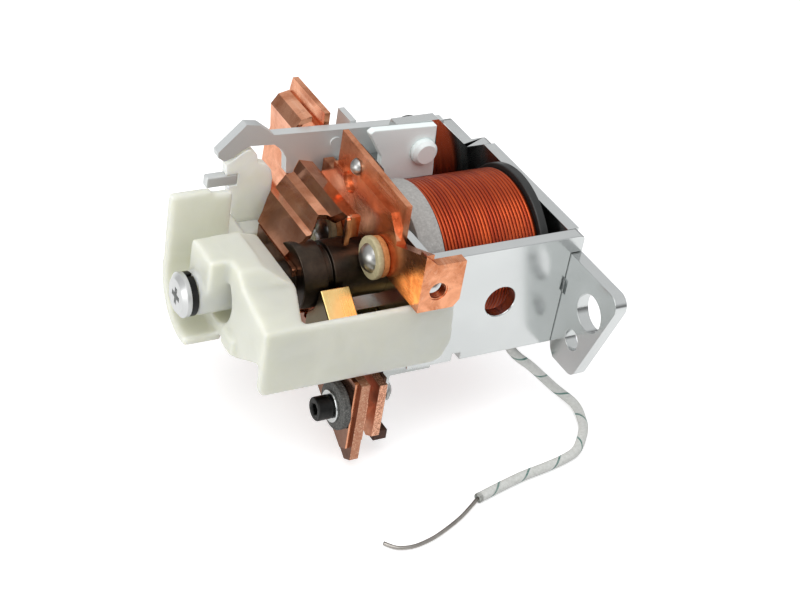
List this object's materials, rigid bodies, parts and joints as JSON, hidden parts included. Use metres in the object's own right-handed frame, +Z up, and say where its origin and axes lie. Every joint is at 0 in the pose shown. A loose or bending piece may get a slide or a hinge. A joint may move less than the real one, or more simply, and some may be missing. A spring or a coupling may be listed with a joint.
{
  "type": "starter solenoid",
  "caption": "Open-frame starter solenoid: coil in a zinc-plated yoke, copper contact bridge on a nylon holder with a release lever and latch pawl.",
  "frame": {"origin": "middle of the two mounting ear holes, on the rear face of the mounting plate", "axes": "+X out of the mounting face along the coil axis (the part reaches towards -X), +Y across the yoke towards the release lever, +Z up"},
  "size_m": [0.098, 0.0976, 0.0632],
  "materials": {
    "zinc_steel": "bright zinc plated sheet",
    "rivet_steel": "dull plated",
    "iron": "dark turned iron",
    "black_steel": "black oxide",
    "spring_steel": "drawn wire",
    "copper": "bare rolled copper",
    "enamelled_wire": "enamelled copper wire",
    "brass": "turned brass",
    "nylon": "natural moulded nylon",
    "black_plastic": "moulded",
    "grey_fibre": "pressed fibre",
    "dark_fibre": "pressed fibre",
    "laminate": "laminated board",
    "cream_fibre": "moulded",
    "brown_fibre": "laminated",
    "sleeve": "braided glass sleeve",
    "tinned_wire": "tinned"
  },
  "bodies": {
    "frame_body": {"mounting_plate": "zinc_steel", "near_side_plate": "zinc_steel", "far_side_plate": "zinc_steel", "pivot_bracket": "zinc_steel", "front_plate": "zinc_steel", "pole_core": "iron", "coil_bobbin": "black_plastic", "front_disc": "grey_fibre", "coil_winding": "enamelled_wire", "guide_sleeve": "brass", "upper_contact": "copper", "upper_insulator": "laminate", "insulated_rivets": "rivet_steel", "cream_washers": "cream_fibre", "brown_washers": "brown_fibre", "bar_rivet": "rivet_steel", "lower_bracket": "zinc_steel", "lower_contact": "copper", "lower_insulator": "laminate", "lower_rivets": "rivet_steel", "insulating_strip": "laminate", "brass_stop": "brass", "lever_pin": "zinc_steel", "pin_clip": "black_steel", "lead_sleeve": "sleeve", "lead_wire": "tinned_wire", "return_spring": "spring_steel"},
    "carriage": {"armature": "iron", "nylon_holder": "nylon", "holder_screw": "rivet_steel", "lock_washer": "black_steel", "contact_bridge": "copper", "bridge_foot": "copper", "contact_pads": "copper", "bridge_screws": "black_steel", "screw_washers": "zinc_steel", "fibre_washers": "dark_fibre", "pawl_pin": "zinc_steel"},
    "lever": {"release_lever": "zinc_steel"},
    "pawl": {"latch_pawl": "nylon", "pawl_tab": "zinc_steel"}
  },
  "joints": [
    {"name": "armature_slide", "type": "slide", "parent": "frame_body", "child": "carriage", "axis": [1, 0, 0], "range_m": [0, 0.0019], "stiffness_N_per_m": 900, "springref_m": -0.006, "deforming": ["return_spring"]},
    {"name": "lever_pivot", "type": "hinge", "parent": "frame_body", "child": "lever", "pos_m": [-0.0213, 0.02365, 0.0156], "axis": [0, 1, 0], "range_deg": [0, 8]},
    {"name": "pawl_pivot", "type": "hinge", "parent": "carriage", "child": "pawl", "pos_m": [-0.0616, 0.02365, -0.003], "axis": [0, 1, 0], "range_deg": [0, 3.5]}
  ]
}
